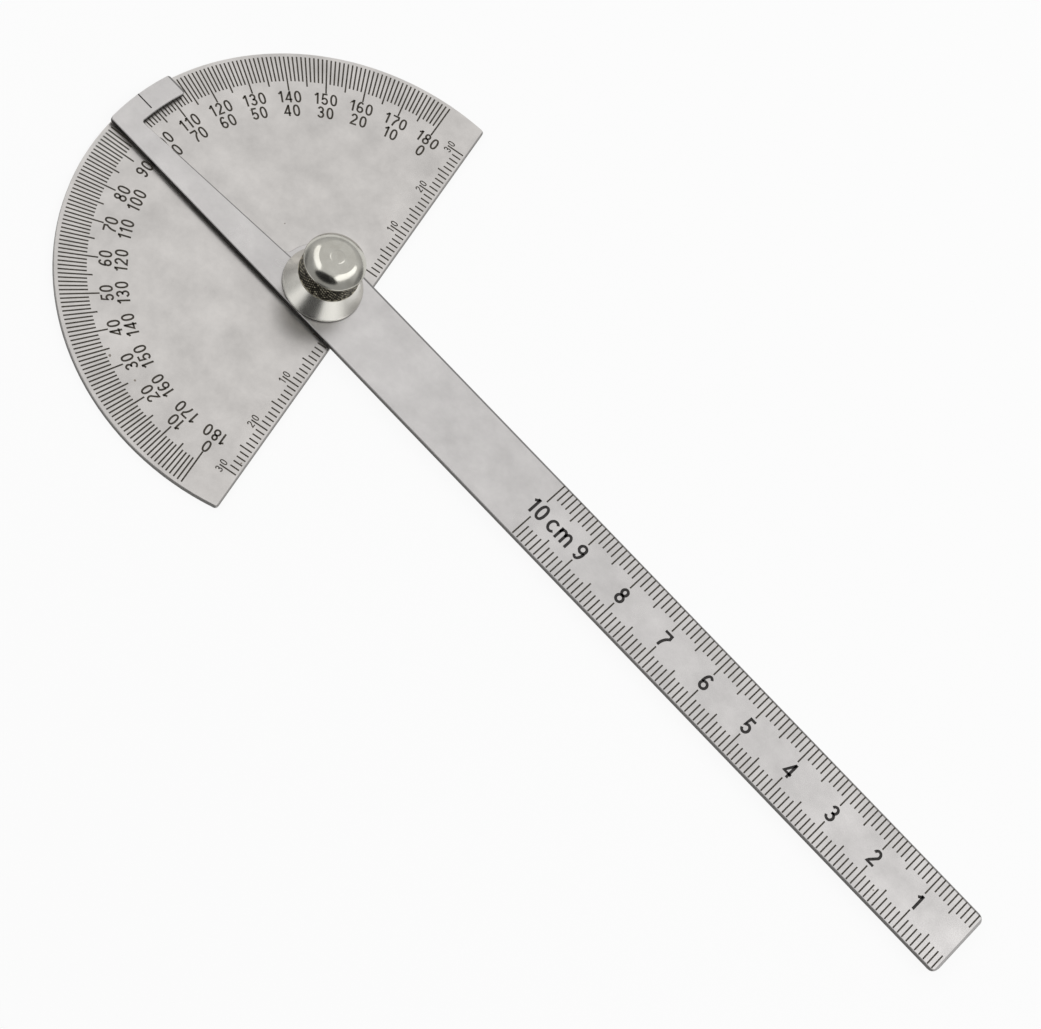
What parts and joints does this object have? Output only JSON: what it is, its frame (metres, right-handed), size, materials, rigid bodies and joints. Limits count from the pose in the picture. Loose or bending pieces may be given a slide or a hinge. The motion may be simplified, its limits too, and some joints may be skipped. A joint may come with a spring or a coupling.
{
  "type": "protractor",
  "caption": "Stainless half-round protractor with etched degree and millimetre scales, a swinging ruler arm with an index head, and a domed clamp knob.",
  "frame": {"origin": "on the pivot axis, in the plane of the protractor plate's back face", "axes": "+Z out of the graduated face, X along the straight edge towards the end where the outer row reads 180, +Y from the straight edge towards the half circle"},
  "size_m": [0.0904, 0.1948, 0.0129],
  "materials": {
    "plate_steel": "fine satin stainless sheet, faintly mottled",
    "arm_steel": "fine satin stainless bar, smoother than the plate",
    "stud_steel": "plain turned steel",
    "washer_steel": "plain stamped steel",
    "knob_plate": "warm nickel plating, turned and polished",
    "etch_dark": "dark fill in the etched marks"
  },
  "bodies": {
    "plate": {"protractor_plate": "plate_steel", "clamp_stud": "stud_steel", "spacer_washer": "washer_steel"},
    "arm": {"ruler_arm": "arm_steel"},
    "washer": {"keyed_washer": "washer_steel"},
    "knob": {"clamp_knob": "knob_plate"}
  },
  "joints": [
    {"name": "arm_swing", "type": "hinge", "parent": "plate", "child": "arm", "pos_m": [0, 0, 0], "axis": [0, 0, 1], "continuous": true},
    {"name": "washer_lift", "type": "slide", "parent": "plate", "child": "washer", "axis": [0, 0, 1], "range_m": [0, 0.0028]},
    {"name": "knob_turn", "type": "hinge", "parent": "washer", "child": "knob", "pos_m": [0, 0, 0], "axis": [0, 0, 1], "range_deg": [0, 1440]}
  ],
  "couplings": [
    {"joint": "washer_lift", "follows": "knob_turn", "m_per_rad": 0.00011141}
  ]
}
